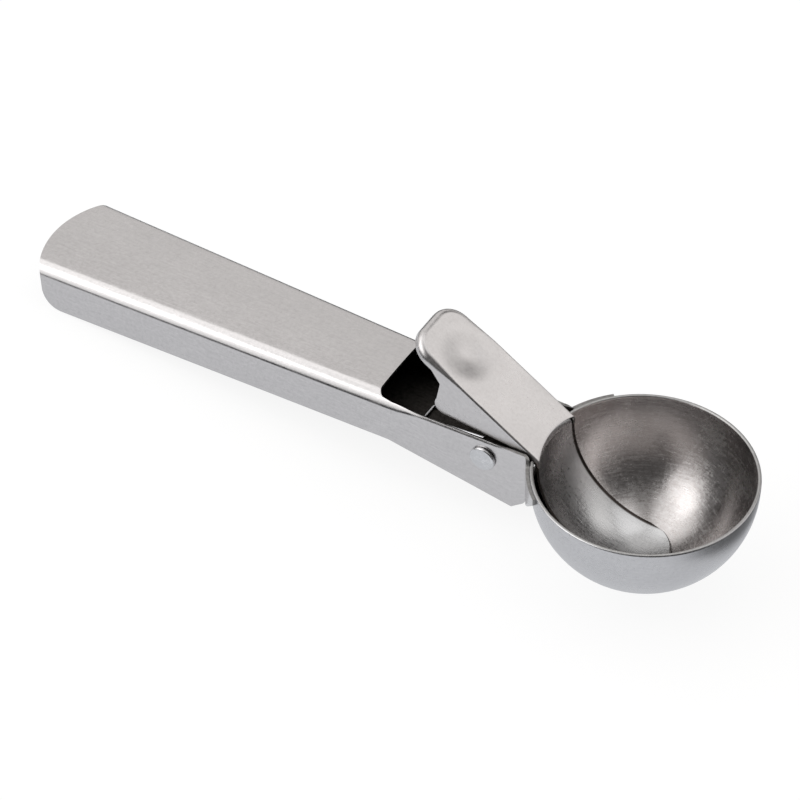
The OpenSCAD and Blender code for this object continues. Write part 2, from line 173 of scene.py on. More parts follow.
def with_mirror(patch):
    """A patch and its mirror image, with the same grain map."""
    points, along, across = patch
    return [patch, (mirrored(points), along, across)]


def sheet_piece(name, patches, centre, thickness, body, node, skins, bevel=EDGE_ROUND):
    """Grid patches of one skin, faced away from centre, with a sheet's thickness and rounded cut edges.

    Each patch is (points, along, across): points by row and column in the bowl's frame, and the two
    lengths in millimetres that its grain map runs over.
    """
    verts, faces, grain_map = [], [], []
    start = 0
    for points, along, across in patches:
        rows, cols = points.shape[:2]
        index = start + np.arange(rows * cols).reshape(rows, cols)
        quads = np.stack([index[:-1, :-1], index[1:, :-1], index[1:, 1:], index[:-1, 1:]], -1).reshape(-1, 4)
        flat = points.reshape(-1, 3)
        corners = flat[quads - start]
        normal = np.cross(corners[:, 2] - corners[:, 0], corners[:, 3] - corners[:, 1])
        if (normal * (corners.mean(1) - np.asarray(centre))).sum() < 0:
            quads = quads[:, ::-1]
        verts.append(on_table(flat))
        faces.append(quads)
        lay = np.stack(np.broadcast_arrays(along, across), -1).reshape(-1, 2) / 1000
        grain_map.append(lay[quads - start].reshape(-1, 2))
        start += rows * cols
    mesh = grid_mesh(name, np.concatenate(verts), np.concatenate(faces), np.concatenate(grain_map))
    piece = bpy.data.objects.new(name, mesh)
    bpy.context.scene.collection.objects.link(piece)
    for skin in skins:
        mesh.materials.append(finish[skin])
    if thickness:
        wall = piece.modifiers.new("sheet", "SOLIDIFY")
        wall.thickness = thickness / 1000
        wall.offset = -1
        wall.use_even_offset = True
        wall.material_offset = 1
        wall.material_offset_rim = 2
    edge = piece.modifiers.new("cut_edges", "BEVEL")
    edge.width = bevel / 1000
    edge.segments = 3
    edge.limit_method = "ANGLE"
    edge.angle_limit = math.radians(50)
    edge.use_clamp_overlap = True
    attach(piece, body)
    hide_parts(node)


def grid_mesh(name, verts, faces, grain_map):
    """Smooth mesh from whole arrays, its doubled seam points merged, with the grain map as its UV.

    The rim attribute is 1 at the points of its open border and 0 elsewhere.
    """
    mesh = bpy.data.meshes.new(name)
    mesh.vertices.add(len(verts))
    mesh.vertices.foreach_set("co", verts.astype(np.float32).ravel())
    mesh.loops.add(faces.size)
    mesh.loops.foreach_set("vertex_index", faces.astype(np.int32).ravel())
    mesh.polygons.add(len(faces))
    mesh.polygons.foreach_set("loop_start", np.arange(0, faces.size, 4, dtype=np.int32))
    mesh.uv_layers.new(name="grain")
    mesh.uv_layers["grain"].data.foreach_set("uv", grain_map.astype(np.float32).ravel())
    mesh.update(calc_edges=True)
    bm = bmesh.new()
    bm.from_mesh(mesh)
    bmesh.ops.remove_doubles(bm, verts=bm.verts, dist=MERGE)
    bmesh.ops.dissolve_degenerate(bm, edges=bm.edges, dist=MERGE)
    bm.to_mesh(mesh)
    bm.free()
    mesh.shade_smooth()
    loop_edges = np.empty(len(mesh.loops), np.int32)
    mesh.loops.foreach_get("edge_index", loop_edges)
    ends = np.empty(2 * len(mesh.edges), np.int32)
    mesh.edges.foreach_get("vertices", ends)
    open_edges = np.bincount(loop_edges, minlength=len(mesh.edges)) == 1
    at_rim = np.zeros(len(mesh.vertices), np.float32)
    at_rim[ends.reshape(-1, 2)[open_edges].ravel()] = 1
    mesh.attributes.new("rim", "FLOAT", "POINT").data.foreach_set("value", at_rim)
    return mesh


# ---------------------------------------------------------------- handle

def fold_line(bend):
    """Fold between top and wall: it bends slowly, then tightly, and ends nearly straight, 90 degrees in all.

    Its curvature runs in straight lines between the bend's values, and the line is its running sum.
    Gives, for points along the fold, the distance in from the wall's face, the depth below the top,
    and the length run. The ears' top edge is cut at the point numbered FOLD_STEPS.
    """
    run = np.linspace(0, bend[-1][0], 4001)
    curve = np.interp(run, *zip(*bend))
    step = run[1] - run[0]
    angle = np.concatenate([[0], np.cumsum((curve[1:] + curve[:-1]) / 2 * step)])
    angle *= math.pi / 2 / angle[-1]
    out = np.concatenate([[0], np.cumsum(np.cos(angle[1:]) * step)])
    down = np.concatenate([[0], np.cumsum(np.sin(angle[1:]) * step)])
    cut = np.interp(OPENING_SINK, down, run)
    stops = np.concatenate([np.linspace(0, cut, FOLD_STEPS + 1)[:-1],
                            np.linspace(cut, run[-1], 2 * FOLD_STEPS + 1)])
    return out[-1] - np.interp(stops, run, out), np.interp(stops, run, down), stops


def wall_at(back):
    """Half width of the handle, which tapers in towards the bowl in a straight line."""
    return HALF_FRONT + (back - OPENING) * LEAN


def wall_bottom(back):
    """Depth of a side wall's lower edge: level, then sloping down to the ear's lowest point, then up."""
    return np.interp(-back, [-EAR_START, -EAR_LOW, EAR_LOW], [WALL_H, EAR_DEPTH, EAR_FRONT_DEPTH])


def weld_flange(ear, share):
    """Bend from the ear's wall and flange round the bowl: an arc that touches both, then the bowl's round.

    The share says how far down between its top and lower edge each row lies. Gives the points and the
    length run on from the ear.
    """
    wall_y = ear[:, -1, 1].mean()
    cy = wall_y + BEND_R
    cx = -math.sqrt((FLANGE_R + BEND_R) ** 2 - cy ** 2)
    meet = math.atan2(cy, -cx)
    turn = np.linspace(0, math.pi / 2 - meet, 9)[1:]
    round_at = np.linspace(meet, FLANGE_END, 18)[1:]
    x = np.concatenate([cx + BEND_R * np.sin(turn), -FLANGE_R * np.cos(round_at)])
    y = np.concatenate([cy - BEND_R * np.cos(turn), FLANGE_R * np.sin(round_at)])
    run = np.concatenate([BEND_R * turn, BEND_R * turn[-1] + FLANGE_R * (round_at - meet)])
    ear_top = RISE - OPENING_SINK
    fall = np.clip((run + EAR_CORNER_LEAD) / EAR_CORNER_R, 0, 1)
    top_z = np.maximum(ear_top - EAR_CORNER_R + EAR_CORNER_R * np.sqrt(1 - fall ** 2), -FLANGE_DROP)
    slope = (EAR_FRONT_DEPTH - FLANGE_DROP - FLANGE_LOW) / (FLANGE_R * (1 - math.cos(FLANGE_END)))
    low_z = -EAR_FRONT_DEPTH + slope * (x + FLANGE_R)
    low_z[:len(turn)] = np.linspace(ear[-1, -1, 2], low_z[len(turn)], len(turn) + 1)[1:]
    z = top_z + share * (low_z - top_z)
    return np.stack(np.broadcast_arrays(x, y, z), -1), np.broadcast_to(run, z.shape)


def handle_half(bend):
    """One side of the channel: section lines from the opening's edge to the round end, then ear and flange.

    The rows go from the middle of the top over the fold and down the wall. The rear end is a round of
    the end radius seen from above, and a round of the corner radius seen from the side.
    """
    inset, depth, fold_run = fold_line(bend)
    top_share = np.concatenate([np.linspace(0, 0.78, 8)[:-1], np.linspace(0.78, 1, 8)[:-1]])
    wall_run = WALL_H - depth[-1]
    straight_share = np.linspace(0, 1, 9)[1:-1] * (WALL_H - CORNER_R - depth[-1]) / wall_run
    corner_depth = WALL_H - CORNER_R + CORNER_R * np.sin(np.linspace(0, math.pi / 2, 9))
    wall_share = np.concatenate([straight_share, (corner_depth - depth[-1]) / wall_run])
    n_top, n_fold, n_wall = len(top_share), len(inset), len(wall_share)
    share = np.concatenate([top_share, np.ones(n_fold + n_wall)])[:, None]
    row_inset = np.concatenate([np.full(n_top, inset[0]), inset, np.zeros(n_wall)])[:, None]
    row_depth = np.concatenate([np.zeros(n_top), depth, np.full(n_wall, depth[-1])])[:, None]
    row_share = np.concatenate([np.zeros(n_top + n_fold), wall_share])[:, None]

    def place(back):
        return (share * (wall_at(back) - row_inset),
                row_depth + row_share * (wall_bottom(back) - row_depth))

    # where each row begins and ends: its place depends on its own taper, so both are found in a few rounds
    ear_begin = OPENING - SINK_LEAD - OPENING_R
    side = wall_at(OPENING - OPENING_R) - OPENING_BORDER
    straight = side - OPENING_R
    rear_wall = LENGTH - END_R + math.sqrt(END_R ** 2 - HALF_REAR ** 2)
    begin = np.full_like(share, OPENING)
    end = np.full_like(share, LENGTH)
    for _ in range(8):
        y, d = place(begin)
        corner = np.sqrt(np.clip(OPENING_R ** 2 - (y - straight) ** 2, 0, None))
        arc = np.where(y < straight, OPENING, OPENING - OPENING_R + corner)
        sink = np.where(d > 0, OPENING - SINK_LEAD - OPENING_R * d / OPENING_SINK, 0)
        begin = np.where(d < OPENING_SINK - 1e-4, np.maximum(np.where(y < side, arc, 0), sink), ear_begin)
        y, d = place(end)
        tip = LENGTH - END_R + np.sqrt(END_R ** 2 - np.minimum(y, HALF_REAR) ** 2)
        corner = np.sqrt(np.clip(CORNER_R ** 2 - (d - WALL_H + CORNER_R) ** 2, 0, None))
        end = np.where(d > WALL_H - CORNER_R, np.minimum(tip, rear_wall - CORNER_R + corner), tip)
    back = begin + (end - begin) * np.concatenate([[0, 0.003], np.linspace(0.01, 0.99, 25), [0.997, 1]])
    y, d = place(back)
    d = d + CROWN * (np.minimum(y / (wall_at(back) - inset[0]), 1) ** 2 - 0.5) * np.clip(1 - d / WALL_H, 0, 1)
    across = np.concatenate([top_share * GRAIN_HALF, GRAIN_HALF + fold_run,
                             GRAIN_HALF + fold_run[-1] + wall_share * GRAIN_HALF])[:, None]
    grip = (handle_to_bowl(back, y, -d), back, across)

    # ear: lines below the fold's cut, from the opening's corner to the bend at the bowl
    first = n_top + FOLD_STEPS
    _, d = place(np.full_like(share, ear_begin))
    share_down = ((d - OPENING_SINK) / (d[-1] - OPENING_SINK))[first:]
    low_back = np.concatenate([
        np.linspace(ear_begin, EAR_LOW + 1, 20), [EAR_LOW + 0.4, EAR_LOW, EAR_LOW - 0.4],
        [1, 0.4, 0, -EAR_TIP / 2, -EAR_TIP]])[None, :]
    top_back = low_back + EAR_SLANT * (ear_begin - low_back) / (ear_begin + EAR_TIP)
    back = top_back + share_down * (low_back - top_back)
    d = OPENING_SINK + share_down * (wall_bottom(low_back) - OPENING_SINK)
    crowned = d + CROWN * 0.5 * np.clip(1 - d / WALL_H, 0, 1)
    shallow = np.interp(d, *zip(*EAR_FOLD))
    whole = s_curve((back - EAR_FOLD_AT) / FOLD_FADE)
    left = s_curve((back - EAR_FOLD_END) / FOLD_FADE)
    fold = (shallow + whole * (np.interp(d, depth, inset) - shallow)) * left
    ear = handle_to_bowl(back, wall_at(back) - fold, -crowned)
    flange, run = weld_flange(ear, share_down)
    along = np.concatenate([back, -EAR_TIP - run], 1)
    return [grip, (np.concatenate([ear, flange], 1), along, across[first:])]


def handle_channel():
    """Folded channel from its two halves, the near one with the broader fold."""
    near = [(mirrored(points), along, -across) for points, along, across in handle_half(NEAR_FOLD)]
    sheet_piece("handle_shell", handle_half(FAR_FOLD) + near, (-70, 0, -6), SHEET, "frame", "handle_channel",
                ["handle_steel", "shaded_inner_steel", "shaded_edge_steel"])


# ---------------------------------------------------------------- bowl

def bowl_profile(z, radius):
    """Distance from the bowl's axis at a height: the ball below the band, straight above it."""
    return np.sqrt(radius ** 2 - np.minimum(z + BOWL_BAND, 0) ** 2)


def bowl():
    """Ball with a straight band, turned about its axis, its slot's sides at one distance from the middle.

    Up to the slot's foot the rounds are whole. Above it they stop at the slot's sides.
    """
    t = np.linspace(-1, 1, 97)
    edge_low = math.asin(SLOT_HALF / bowl_profile(-SLOT_DEPTH, BOWL_R))
    outside = (math.pi - edge_low) * t
    inside = np.linspace(math.pi - edge_low, math.pi + edge_low, 17)
    angle = np.concatenate([outside, inside[1:]])[None, :]
    tilt = np.linspace(-math.pi / 2, -math.asin((SLOT_DEPTH - BOWL_BAND) / BOWL_R), 44)[:, None]
    r, z = BOWL_R * np.cos(tilt), -BOWL_BAND + BOWL_R * np.sin(tilt)
    lower = np.stack(np.broadcast_arrays(r * np.cos(angle), r * np.sin(angle), z), -1)
    lower_patch = (lower, angle * BOWL_R, tilt * BOWL_R)
    z = np.concatenate([np.linspace(-SLOT_DEPTH, -BOWL_BAND, 8), np.linspace(-BOWL_BAND, 0, 5)[1:]])[:, None]
    r = bowl_profile(z, BOWL_R)
    angle = (math.pi - np.arcsin(SLOT_HALF / r)) * t
    upper = np.stack(np.broadcast_arrays(r * np.cos(angle), r * np.sin(angle), z), -1)
    upper_patch = (upper, angle * BOWL_R, z)
    sheet_piece("bowl_shell", [lower_patch, upper_patch], (0, 0, -8), BOWL_SHEET, "frame", "bowl",
                ["bowl_steel", "bowl_inner", "rim_steel"], bevel=RIM_ROUND)


# ---------------------------------------------------------------- thumb plate

def flange_depth(up):
    """Depth of the flange's lower edge: a slope down to the round lobe, then a step up to the shallow lip."""
    slope_end = LOBE_BACK - LOBE_R * math.sin(LOBE_SLOPE)
    low = LOBE_DEPTH + LOBE_R * math.cos(LOBE_SLOPE)
    sloped = low - (slope_end - up) * math.tan(LOBE_SLOPE)
    lobe = LOBE_DEPTH + np.sqrt(np.clip(LOBE_R ** 2 - (up - LOBE_BACK) ** 2, 0, None))
    rear = np.interp(up, [LOBE_BACK + LOBE_R, NOTCH_BACK, LIP_BACK], [LOBE_DEPTH, NOTCH_DEPTH, THUMB_LIP])
    depth = np.where(up < slope_end, sloped, np.where(up < LOBE_BACK + LOBE_R, lobe, rear))
    return np.maximum(depth, END_FOLD + 0.02)


def fold_radius(up):
    """Radius of the fold round the plate: tight along the sides, wider in an S-curve to the free end."""
    start, stop = FOLD_CHANGE
    return SIDE_FOLD + (END_FOLD - SIDE_FOLD) * s_curve((up - start) / (stop - start))


def front_of_plate(y, depth):
    """Where the plate meets the upright cylinder through the blade's inner face."""
    return (np.sqrt(BLADE_IN ** 2 - y ** 2) - BLADE_IN - depth * math.sin(SLOPE)) / math.cos(SLOPE)


def thumb_plate():
    """Pressed lid: a flat top with a round hollow, a fold round its free edge, and flanges with lobes.

    The hollow follows half a wave of a cosine, from its middle to where it meets the flat.
    """
    flat_half = THUMB_HALF - END_FOLD
    flat_end = THUMB_LEN - END_FOLD
    corner = THUMB_CORNER - END_FOLD
    stops = np.concatenate([
        np.linspace(0, 1.55, 4)[:-1], np.linspace(1.55, LOBE_BACK - LOBE_R, 40)[:-1],
        LOBE_BACK - LOBE_R * np.cos(np.linspace(0, math.pi, 25)),
        np.linspace(LOBE_BACK + LOBE_R, NOTCH_BACK, 8)[1:],
        np.linspace(NOTCH_BACK, flat_end - corner, 14)[1:],
        flat_end - corner + corner * np.sin(np.linspace(0, math.pi / 2, 15))[1:]])
    beyond = np.clip(stops - (flat_end - corner), 0, corner)
    half = flat_half - corner + np.sqrt(corner ** 2 - beyond ** 2) + END_FOLD - fold_radius(stops)
    y = np.linspace(-1, 1, 61)[:, None] * half
    up = stops + front_of_plate(y, 0) * np.clip(1 - stops / FRONT_FADE, 0, 1)
    away = np.hypot(up - DISH_BACK, y)
    hollow = DISH_DEPTH * 0.5 * (1 + np.cos(math.pi * np.clip(away / DISH_R, 0, 1)))
    top = (lever_to_bowl(up, y, hollow), up, y)

    # rim: a quarter round and the flange, carried along the edge of the flat top
    end_y = y[1:-1, -1]
    n_side, n_end = len(stops), len(end_y)
    edge_up = np.concatenate([stops, np.full(n_end, flat_end), stops[::-1]])
    edge_y = np.concatenate([-half, end_y, half[::-1]])
    steep = np.arcsin(np.clip(beyond / corner, 0, 1))
    edge_turn = np.concatenate([steep, np.full(n_end, math.pi / 2), steep[::-1]])
    out_up, out_y = np.sin(edge_turn), np.cos(edge_turn) * np.sign(edge_y)
    out_up[n_side:-n_side], out_y[n_side:-n_side] = 1, 0
    turn = np.linspace(0, math.pi / 2, 9)[:, None]
    fold = np.broadcast_to(fold_radius(edge_up), (1, len(edge_up)))
    outset = np.concatenate([fold * np.sin(turn), np.repeat(fold, 9, 0)])
    limit = flange_depth(np.clip(edge_up, 0, LIP_BACK + 1))
    lower = fold + np.linspace(0, 1, 10)[1:, None] * (limit - fold)
    down = np.concatenate([fold * (1 - np.cos(turn)), lower])
    side_y = edge_y + out_y * outset
    edge = edge_up + out_up * outset
    edge = edge + front_of_plate(side_y, down) * np.clip(1 - edge_up / FRONT_FADE, 0, 1)
    run = np.concatenate([[0], np.cumsum(np.hypot(np.diff(edge_up), np.diff(edge_y)))])
    rim = (lever_to_bowl(edge, side_y, down), run, GRAIN_HALF + down)
    sheet_piece("thumb_rest", [top, rim], lever_to_bowl(18.0, 0.0, 6.0), SHEET, "lever", "thumb_plate",
                ["thumb_steel", "shaded_inner_steel", "shaded_edge_steel"])


# ---------------------------------------------------------------- ejector blade

def ejector_blade():
    """One bent strip: a flat foot under the thumb plate, a bend, and a band of the ball with a round front.

    Its columns are shares of its half width, with a narrow outermost one for the border. The two lugs
    are sheets from a straight root under the foot to a half round about the pivot.
    """
    share = np.concatenate([[-1], np.linspace(-BLADE_BORDER, BLADE_BORDER, 47), [1]])[None, :]
    foot = np.linspace(UNDER_LEN, FOOT_START, 12)[:, None]
    widen = np.clip(1 - (foot - FOOT_START) / FOOT_WIDEN, 0, 1) ** 2
    foot_y = share * (LUG_OUT + (BLADE_HALF_REAR - LUG_OUT) * widen)
    reach = np.sqrt(BLADE_OUT ** 2 - foot_y ** 2) - BLADE_OUT
    foot_up = foot + reach / math.cos(SLOPE) * np.clip(1 - foot / UNDER_LEN, 0, 1)
    flat = lever_to_bowl(foot_up, foot_y, SHEET + BLADE_SHEET)

    # band: each row's place depends on its own width, so the nose is found in a few rounds
    turn = np.concatenate([np.linspace(0, 0.993, 45), [1]])[:, None]
    y = share * BLADE_HALF_REAR + 0 * turn
    nose_x = BLADE_REACH - BLADE_HALF
    for _ in range(12):
        ring = np.sqrt(BLADE_OUT ** 2 - y ** 2)
        nose = nose_x + np.sqrt(BLADE_HALF ** 2 - np.minimum(np.abs(y), BLADE_HALF) ** 2)
        angle = turn * np.arccos(np.clip(-nose / ring, -1, 1))
        x = -ring * np.cos(angle)
        y = share * np.interp(x, [-BOWL_R, nose_x], [BLADE_HALF_REAR, BLADE_HALF])
    band = np.stack([x, y, -BOWL_BAND - ring * np.sin(angle)], -1)
    lift = np.linspace(1, 0, 4)[:-1, None]
    start_z = BEND_Z - BEND_SAG * (BLADE_OUT - ring[0]) / math.cos(SLOPE) * math.sin(SLOPE)
    upright = np.stack(np.broadcast_arrays(band[0, :, 0], band[0, :, 1],
                                           -BOWL_BAND + lift * (start_z + BOWL_BAND)), -1)
    strip = np.concatenate([flat, upright, band])
    middle = strip[:, share.size // 2]
    body = (strip, length_run(middle)[:, None], share * BLADE_HALF)

    pivot = PIVOT - lever_to_bowl(0.0, 0.0, 0.0)
    pivot_up = -pivot[0] * math.cos(SLOPE) + pivot[2] * math.sin(SLOPE)
    pivot_depth = -pivot[0] * math.sin(SLOPE) - pivot[2] * math.cos(SLOPE)
    bow = np.linspace(0, math.pi, 25)[None, :]
    fall = np.linspace(0, 1, 10)[:, None]
    up = (LUG_ROOT + LUG_ROOT_LEN * bow / math.pi) * (1 - fall) + (pivot_up - LUG_R * np.cos(bow)) * fall
    depth = LUG_ROOT_DEPTH * (1 - fall) + (pivot_depth + LUG_R * np.sin(bow)) * fall
    lugs = with_mirror((lever_to_bowl(up, LUG_OUT, depth), up, depth))
    sheet_piece("ejector_strip", [body] + lugs, (0, 0, -2), BLADE_SHEET, "lever", "ejector_blade",
                ["shaded_blade_back", "blade_steel", "shaded_blade_edge"])


# ---------------------------------------------------------------- rivet

def pivot_rivet():
    """Turned shape about the pivot's axis: shank, flat seat, rounded edge and domed head, at both ends."""
    flat_r = HEAD_R - HEAD_ROUND
    ball = (flat_r ** 2 + HEAD_DOME ** 2) / (2 * HEAD_DOME)
    dome_r = flat_r * np.linspace(0, 1, 12)
    dome_y = HEAD_SEAT + HEAD_H - ball + np.sqrt(ball ** 2 - dome_r ** 2)
    turned = np.linspace(0, math.pi / 2, 7)[1:]
    round_r = flat_r + HEAD_ROUND * np.sin(turned)
    round_y = dome_y[-1] - HEAD_ROUND * (1 - np.cos(turned))
    r = np.concatenate([dome_r, round_r, [HEAD_R, RIVET_R, RIVET_R]])
    y = np.concatenate([dome_y, round_y, [HEAD_SEAT, HEAD_SEAT, 0.0]])
    r, y = np.concatenate([r, r[-2::-1]])[:, None], np.concatenate([y, -y[-2::-1]])[:, None]
    turn = np.linspace(0, 2 * math.pi, 65)[None, :]
    skin = np.stack(np.broadcast_arrays(PIVOT[0] + r * np.cos(turn), y, PIVOT[2] + r * np.sin(turn)), -1)
    sheet_piece("rivet", [(skin, turn * HEAD_R, y)], PIVOT, None, "frame", "pivot_rivet", ["rivet_steel"])


# ---------------------------------------------------------------- spring

def wire(centre, out, across, radius):
    """Round wire along a row of centres, each ring in the plane of two square directions."""
    turn = np.linspace(0, 2 * math.pi, 13)[None, :, None]
    spoke = np.cos(turn) * out[:, None] + np.sin(turn) * across[:, None]
    rings = centre[:, None] + radius[:, None, None] * spoke
    return rings, length_run(centre)[:, None], turn[:, :, 0] * WIRE_R


def torsion_spring():
    """Two coils round the rivet: their arms press up on the lever, their legs form a cross bar.

    Arm and leg leave the coil in a straight line that just touches it. An arm turns with the lever. Its
    own piece of coil lies inside the start of the rest of the coil, a little thinner, so that no gap
    opens as it turns.
    """
    coil_r = RIVET_R + WIRE_GAP + WIRE_R
    pitch = 2 * WIRE_R + WIRE_GAP / 2
    side = np.array([0.0, 1.0, 0.0])
    press = lever_to_bowl(PRESS_BACK, 0.0, SHEET + BLADE_SHEET + WIRE_GAP + WIRE_R) - PIVOT
    bar_rear = BAR_BACK - PIVOT[0] - BOWL_R
    bar_z = RISE + bar_rear * math.sin(PITCH) + PLATE_TOP + WIRE_GAP + WIRE_R - PIVOT[2]
    bar = np.array([-BAR_BACK, 0.0, bar_z])
    arm_angle = math.atan2(press[2], press[0]) - math.acos(coil_r / math.hypot(press[0], press[2]))
    bar_angle = math.atan2(bar[2], bar[0]) + math.acos(coil_r / math.hypot(bar[0], bar[2]))
    sweep = arm_angle - (bar_angle - 2 * math.pi * (bar_angle > 0)) + 2 * math.pi * COIL_TURNS
    width = pitch * sweep / (2 * math.pi)

    def coil(turn):
        out = np.stack([np.cos(arm_angle - turn), 0 * turn, np.sin(arm_angle - turn)], -1)
        place = PIVOT + coil_r * out
        place[:, 1] = BAR_HALF + width * (1 - turn / sweep)
        return place, out

    # arm: a foot along the lever, the straight arm, and the first part of the coil
    along = np.linspace(0, ARM_TURN, 9)
    place, out = coil(along)
    foot_out = np.array([math.sin(SLOPE), 0.0, math.cos(SLOPE)])
    arm_end = PIVOT + press + side * place[0, 1]
    foot_end = arm_end + FOOT_LEN * np.array([-math.cos(SLOPE), 0.0, math.sin(SLOPE)])
    corner = foot_out + out[0]
    centre = np.concatenate([[foot_end, foot_end, arm_end], place, place[-1:]])
    out = np.concatenate([[foot_out, foot_out, corner / np.linalg.norm(corner)], out, out[-1:]])
    thin = np.interp(along, [ARM_TURN - COIL_LAP, ARM_TURN - 0.8 * COIL_LAP], [WIRE_R, LAP_THIN * WIRE_R])
    radius = np.concatenate([[0, WIRE_R, WIRE_R], thin, [0]])
    arm = wire(centre, out, np.broadcast_to(side, centre.shape), radius)

    # the rest of the coil, the leg, its bend, and the cross bar up to the middle
    place, out = coil(np.linspace(ARM_TURN - COIL_LAP, sweep, 84))
    leg_to = PIVOT + bar + side * place[-1, 1]
    leg = (leg_to - place[-1]) / np.linalg.norm(leg_to - place[-1])
    bend = np.linspace(0, math.pi / 2, 6)[:, None]
    corner = leg_to - BAR_BEND * leg + BAR_BEND * (np.sin(bend) * leg - (1 - np.cos(bend)) * side)
    tilt = np.cos(bend) * side + np.sin(bend) * leg
    centre = np.concatenate([place[:1], place, corner, [leg_to * (1, 0, 1)]])
    out = np.concatenate([out[:1], out, np.repeat(out[-1:], len(bend) + 1, 0)])
    across = np.concatenate([np.broadcast_to(side, (len(place) + 1, 3)), tilt, [leg]])
    radius = np.full(len(centre), WIRE_R)
    radius[0] = 0
    half = wire(centre, out, across, radius)

    sheet_piece("spring_arms", with_mirror(arm), PIVOT, None, "lever", "torsion_spring", ["spring_steel"],
                bevel=WIRE_ROUND)
    sheet_piece("spring_coils", with_mirror(half), PIVOT, None, "frame", "torsion_spring", ["spring_steel"],
                bevel=WIRE_ROUND)


# ---------------------------------------------------------------- finishes

# how often a pattern repeats per metre: fine mottle, specks, and soft clouds drawn out along the part
MOTTLE, SPECKS, CLOUDS = 1100, 1500, (45, 70, 70)
# fine scratches at two slants: stretch, turn, and the noise values between which they show
SCRATCHES = (((150, 5200, 1), 0.5, 0.66, 0.72), ((170, 4600, 1), -0.9, 0.67, 0.73))
# noise values between which specks show, how much they darken, and the share of the clouds in the tone
SPECK_FROM, SPECK_TO, SPECK_SHARE = 0.62, 0.75, 0.15
CLOUD_SHARE = 0.5
# low and high end of a sum of noise, as (for the first layer, for each further one)
TONE_ENDS, SHINE_ENDS = ((0.32, 0.42), (0.68, 0.58)), ((0.35, 0.25), (0.65, 0.25))
# height of the brushing in metres, how strongly it shows, and how far the scratches cut down
BRUSH_HEIGHT, BRUSH_SHARE, SCRATCH_CUT = 0.00002, 0.6, -0.3


def feed(nt, socket, value):
    """Links a socket's output to an input, or sets the input to a plain value."""
    if isinstance(value, bpy.types.NodeSocket):
        nt.links.new(value, socket)
    else:
        socket.default_value = value


def maths(nt, operation, *values):
    """One arithmetic step on numbers or socket outputs."""
    node = nt.nodes.new("ShaderNodeMath")
    node.operation = operation
    for socket, value in zip(node.inputs, values):
        feed(nt, socket, value)
    return node.outputs[0]


def sum_of(nt, a, b, share):
    """a plus share times b."""
    return maths(nt, "MULTIPLY_ADD", b, share, a)


def product(nt, a, b):
    """a times b."""
    return maths(nt, "MULTIPLY", a, b)


def ramp(nt, source, low, high, to_low=0.0, to_high=1.0):
    """Straight-line map of a value from low..high to to_low..to_high, held at both ends."""
    node = nt.nodes.new("ShaderNodeMapRange")
    for socket, value in zip(node.inputs, (source, low, high, to_low, to_high)):
        feed(nt, socket, value)
    return node.outputs[0]


def grain(nt, coords, stretch, turn=0, detail=4.0, roughness=0.6):
    """Noise drawn out by different scales along the three axes, after a turn in radians about the third."""
    place = nt.nodes.new("ShaderNodeMapping")
    place.inputs["Rotation"].default_value = (0, 0, turn)
    place.inputs["Scale"].default_value = stretch
    noise = nt.nodes.new("ShaderNodeTexNoise")
    noise.inputs["Scale"].default_value = 1.0
    noise.inputs["Detail"].default_value = detail
    noise.inputs["Roughness"].default_value = roughness
    nt.links.new(coords, place.inputs["Vector"])
    nt.links.new(place.outputs[0], noise.inputs["Vector"])
    return noise.outputs[0]


def blend(nt, factor, a, b):
    """Colour that goes from a to b as the factor goes from 0 to 1."""
    node = nt.nodes.new("ShaderNodeMix")
    node.data_type = "RGBA"
    for socket, value in ((node.inputs[6], a), (node.inputs[7], b)):
        feed(nt, socket, value if isinstance(value, bpy.types.NodeSocket) else (*value, 1.0))
    nt.links.new(factor, node.inputs[0])
    return node.outputs[2]


def noise_ends(ends, layers):
    """Low and high end of a sum of noise, for the layers beyond the first."""
    return [first + more * layers for first, more in ends]


def mix_shader(nt, factor, a, b):
    """Shader that goes from a to b as the factor goes from 0 to 1."""
    node = nt.nodes.new("ShaderNodeMixShader")
    for socket, value in zip(node.inputs, (factor, a, b)):
        nt.links.new(value, socket)
    return node.outputs[0]


